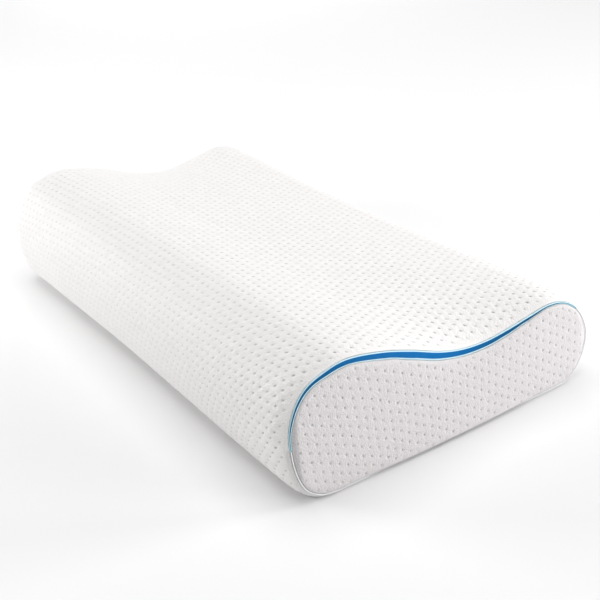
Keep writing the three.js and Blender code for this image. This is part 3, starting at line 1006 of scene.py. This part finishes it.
def make_stitches(settings):
    thread = thread_material(settings)
    tree = stitch_tree()
    seam = SeamLine(SEAM_SPACING)
    for side, facing, drawn_in in ENDS:
        line = seam.on_face(facing, drawn_in, seam.width + 2 * GAP + STITCH_INSET, PANEL_LIFT - STITCH_SUNK)
        stitches = line_object(f"seam_stitches_{side}", np.vstack([line, line[0]]))
        with_tree(stitches, tree, {
            "Spacing": settings.stitch_spacing, "Length": settings.stitch_length, "Thread": settings.thread,
            "Material": thread,
        })
        # The unit stitch leaves an empty material slot before the thread's.
        while len(stitches.data.materials) > 1:
            stitches.data.materials.pop(index=0)
        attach(stitches, BODY)


def soft_box(name, place, size, power):
    """A square area light that looks at the pillow."""
    data = bpy.data.lights.new(f"{name}_light", "AREA")
    data.energy = power
    data.size = size
    light = bpy.data.objects.new(data.name, data)
    light.location = place
    light.rotation_euler = (-place).to_track_quat("-Z", "Y").to_euler()
    bpy.context.scene.collection.objects.link(light)


def make_studio(settings):
    scene = bpy.context.scene
    scene.view_settings.view_transform = "Standard"
    world = bpy.data.worlds.new("Soft studio")
    world.use_nodes = True
    scene.world = world
    background = world.node_tree.nodes["Background"]
    background.inputs["Color"].default_value = (1, 1, 1, 1)
    background.inputs["Strength"].default_value = settings.sky
    corners = [(x * FLOOR_HALF, y * FLOOR_HALF, -FLOOR_DROP) for x, y in ((-1, -1), (1, -1), (1, 1), (-1, 1))]
    floor = mesh_object("studio_floor", corners, [(0, 1, 2, 3)])
    paint, _, shader = plain_material("Matt studio floor", roughness=1.0, specular=0.0)
    shader.inputs["Base Color"].default_value = opaque(settings.floor)
    floor.data.materials.append(paint)
    low = math.radians(SOFT_BOX_ELEVATION)
    for name, direction, distance in SOFT_BOXES:
        turn = math.radians(direction)
        place = Vector((math.cos(turn) * math.cos(low), math.sin(turn) * math.cos(low), math.sin(low)))
        place = place * distance + Vector((0, 0, SOFT_BOX_LIFT))
        soft_box(name, place, SOFT_BOX_SIZE, getattr(settings, name))
    soft_box("top", Vector((0, 0, TOP_LIGHT_HEIGHT)), TOP_LIGHT_SIZE, settings.top)
    a, e, r = settings.azimuth, settings.elevation, settings.roll
    back = Vector((math.sin(a) * math.cos(e), -math.cos(a) * math.cos(e), math.sin(e)))
    right = Vector((math.cos(a), math.sin(a), 0))
    up = back.cross(right)
    turned = (right * math.cos(r) + up * math.sin(r), up * math.cos(r) - right * math.sin(r), back)
    data = bpy.data.cameras.new("camera")
    data.sensor_width = SENSOR_WIDTH
    data.lens = settings.lens
    data.clip_start = NEAR_CLIP
    camera = bpy.data.objects.new("camera", data)
    camera.location = settings.place
    camera.rotation_euler = Matrix(turned).transposed().to_euler()
    scene.collection.objects.link(camera)
    scene.camera = camera


class PILLOW_OT_studio(bpy.types.Operator):
    """Makes the camera, the floor and the light"""

    bl_idname = "pillow.studio"
    bl_label = "Studio"

    def execute(self, context):
        make_studio(context.scene.pillow_studio)
        return {"FINISHED"}


class PILLOW_OT_wrap(bpy.types.Operator):
    """Makes the filled knitted wrap"""

    bl_idname = "pillow.wrap"
    bl_label = "Knitted Wrap"

    def execute(self, context):
        make_wrap(context.scene.pillow_wrap)
        return {"FINISHED"}


class PILLOW_OT_end_panels(bpy.types.Operator):
    """Makes the two end panels"""

    bl_idname = "pillow.end_panels"
    bl_label = "End Panels"

    def execute(self, context):
        make_end_panels(context.scene.pillow_panel)
        return {"FINISHED"}


class PILLOW_OT_strips(bpy.types.Operator):
    """Makes the tapered blue strip in the top of each end seam"""

    bl_idname = "pillow.strips"
    bl_label = "Blue Strips"

    def execute(self, context):
        make_strips(context.scene.pillow_strip)
        return {"FINISHED"}


class PILLOW_OT_cords(bpy.types.Operator):
    """Makes the thin cord in the rest of each end seam"""

    bl_idname = "pillow.cords"
    bl_label = "Seam Cords"

    def execute(self, context):
        make_cords(context.scene.pillow_cord)
        return {"FINISHED"}


class PILLOW_OT_stitches(bpy.types.Operator):
    """Sews a line of stitches round each end panel"""

    bl_idname = "pillow.stitches"
    bl_label = "Seam Stitches"

    def execute(self, context):
        make_stitches(context.scene.pillow_cord)
        return {"FINISHED"}


SETTINGS = {
    "pillow_wrap": PillowWrapSettings,
    "pillow_panel": PillowPanelSettings,
    "pillow_strip": PillowStripSettings,
    "pillow_cord": PillowCordSettings,
    "pillow_studio": PillowStudioSettings,
}
OPERATORS = (
    PILLOW_OT_studio,
    PILLOW_OT_wrap,
    PILLOW_OT_end_panels,
    PILLOW_OT_strips,
    PILLOW_OT_cords,
    PILLOW_OT_stitches,
)


class PILLOW_PT_sidebar(bpy.types.Panel):
    """Lists the pillow's pieces and their settings"""

    bl_label = "Contour Neck Pillow"
    bl_idname = "PILLOW_PT_sidebar"
    bl_space_type = "VIEW_3D"
    bl_region_type = "UI"
    bl_category = "Pillow"

    def draw(self, context):
        for operator in OPERATORS:
            self.layout.operator(operator.bl_idname)
        for name, settings in SETTINGS.items():
            box = self.layout.box()
            for label in settings.__annotations__:
                box.prop(getattr(context.scene, name), label)


def register():
    for settings in (*SETTINGS.values(), *OPERATORS, PILLOW_PT_sidebar):
        bpy.utils.register_class(settings)
    for name, settings in SETTINGS.items():
        setattr(bpy.types.Scene, name, PointerProperty(type=settings))


def unregister():
    for name in SETTINGS:
        delattr(bpy.types.Scene, name)
    for settings in (PILLOW_PT_sidebar, *reversed(OPERATORS), *reversed(SETTINGS.values())):
        bpy.utils.unregister_class(settings)


def main():
    register()
    bpy.ops.pillow.studio()
    bpy.ops.pillow.wrap()
    bpy.ops.pillow.end_panels()
    bpy.ops.pillow.strips()
    bpy.ops.pillow.cords()
    bpy.ops.pillow.stitches()


if __name__ == "__main__":
    main()
